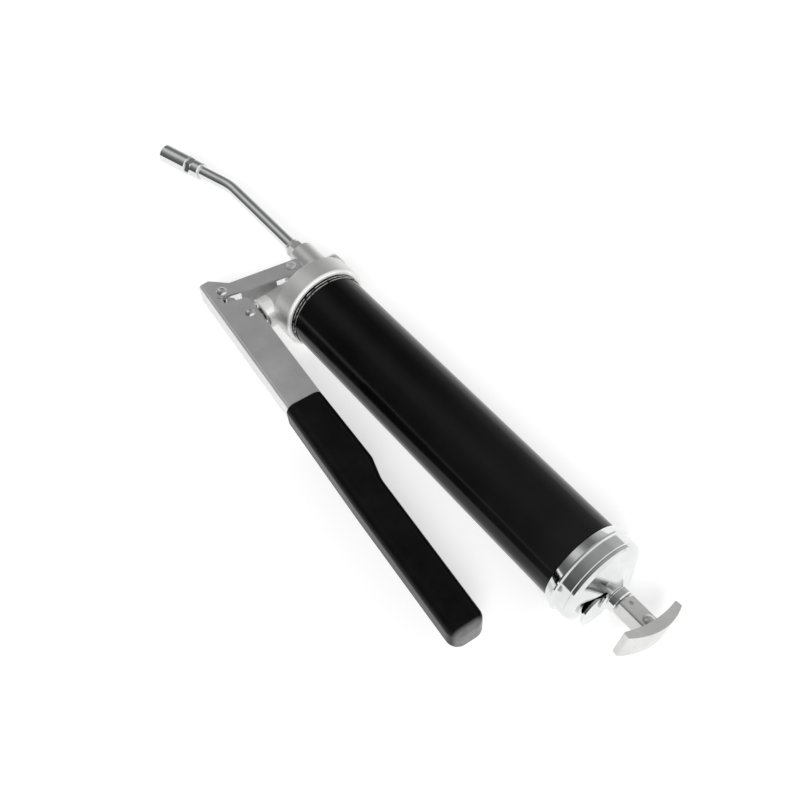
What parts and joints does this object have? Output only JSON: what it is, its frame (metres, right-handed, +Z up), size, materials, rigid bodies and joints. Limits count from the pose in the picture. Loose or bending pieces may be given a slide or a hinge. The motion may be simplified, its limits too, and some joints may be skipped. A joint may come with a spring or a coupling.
{
  "type": "grease gun",
  "caption": "Lever grease gun: long barrel with a pump head, hinged lever with a sleeve grip, bent delivery pipe with a coupler, and a pull-back T-handle on the end cap.",
  "frame": {"origin": "centre of the footprint, on the surface that the barrel's head and cap rest on", "axes": "+X along the barrel towards the delivery pipe, +Y to the lever's side, +Z up; the lever swings in the XY plane"},
  "size_m": [0.5394, 0.125, 0.0652],
  "materials": {
    "black_paint": "gloss black enamel",
    "cast_metal": "satin die-cast, light grey",
    "zinc_plate": "satin zinc plate",
    "bright_plate": "bright nickel plate",
    "steel": "machined steel",
    "rubber_grip": "semi-gloss black sleeve",
    "rubber_seal": "black nitrile"
  },
  "bodies": {
    "gun_body": {"head_casting": "cast_metal", "head_gasket": "rubber_seal", "barrel_tube": "black_paint", "end_cap": "bright_plate", "end_cap_bush": "bright_plate", "rod_guide_washer": "steel", "rod_lock_spring": "steel", "gland_nut": "bright_plate", "plunger_seal": "rubber_seal", "cylinder_end_plug": "zinc_plate", "outlet_check_spring": "steel", "outlet_adapter": "zinc_plate", "delivery_pipe": "bright_plate", "coupler_lock_collar": "bright_plate", "coupler_body": "bright_plate", "coupler_sleeve": "bright_plate", "coupler_spring": "steel", "link_bolt": "zinc_plate", "link_nut": "zinc_plate", "follower_spring": "steel"},
    "link": {"link_channel": "zinc_plate", "lever_rivet": "bright_plate"},
    "lever": {"lever_channel": "zinc_plate", "lever_grip": "rubber_grip", "plunger_rivet": "bright_plate"},
    "plunger_body": {"plunger": "steel"},
    "follower": {"follower_cup": "rubber_seal", "follower_plate": "zinc_plate", "follower_washer": "zinc_plate"},
    "rod": {"follower_rod": "bright_plate", "follower_nut": "zinc_plate", "rod_stop_ring": "steel", "t_handle": "zinc_plate", "t_handle_pin": "steel"},
    "rod_lock": {"rod_lock_tab": "bright_plate"},
    "check_ball": {"outlet_check_ball": "steel"},
    "jaws": {"coupler_jaws": "steel", "coupler_seal": "rubber_seal"}
  },
  "joints": [
    {"name": "link_swing", "type": "hinge", "parent": "gun_body", "child": "link", "pos_m": [0.08997, -0.02909, 0.0326], "axis": [0, 0, 1], "range_deg": [-0.38, 3.64]},
    {"name": "lever_swing", "type": "hinge", "parent": "link", "child": "lever", "pos_m": [0.10197, 0.02221, 0.0326], "axis": [0, 0, -1], "range_deg": [-4, 50]},
    {"name": "plunger_stroke", "type": "slide", "parent": "gun_body", "child": "plunger_body", "axis": [0, 1, 0], "range_m": [-0.00193, 0.02292]},
    {"name": "rod_pull", "type": "slide", "parent": "gun_body", "child": "follower", "axis": [-1, 0, 0], "range_m": [0, 0.2], "deforming": ["follower_spring"]},
    {"name": "rod_turn", "type": "hinge", "parent": "follower", "child": "rod", "pos_m": [-0.24603, -0.02909, 0.0326], "axis": [1, 0, 0], "continuous": true},
    {"name": "rod_lock_tilt", "type": "hinge", "parent": "gun_body", "child": "rod_lock", "pos_m": [-0.23443, -0.03734, 0.03466], "axis": [0, -0.2419, -0.9703], "range_deg": [0, 5], "stiffness_Nm_per_rad": 0.6, "springref_deg": -8.59, "deforming": ["rod_lock_spring"]},
    {"name": "check_ball_lift", "type": "slide", "parent": "gun_body", "child": "check_ball", "axis": [1, 0, 0], "range_m": [0, 0.0015], "stiffness_N_per_m": 300, "springref_m": -0.002, "deforming": ["outlet_check_spring"]},
    {"name": "jaw_travel", "type": "slide", "parent": "gun_body", "child": "jaws", "axis": [-0.9636, -0.2672, 0], "range_m": [0, 0.0015], "stiffness_N_per_m": 2500, "springref_m": -0.002, "deforming": ["coupler_spring"]}
  ],
  "couplings": [
    {"joint": "link_swing", "follows": "lever_swing", "ratio": 0.0708},
    {"joint": "plunger_stroke", "follows": "lever_swing", "m_per_rad": 0.02615}
  ]
}
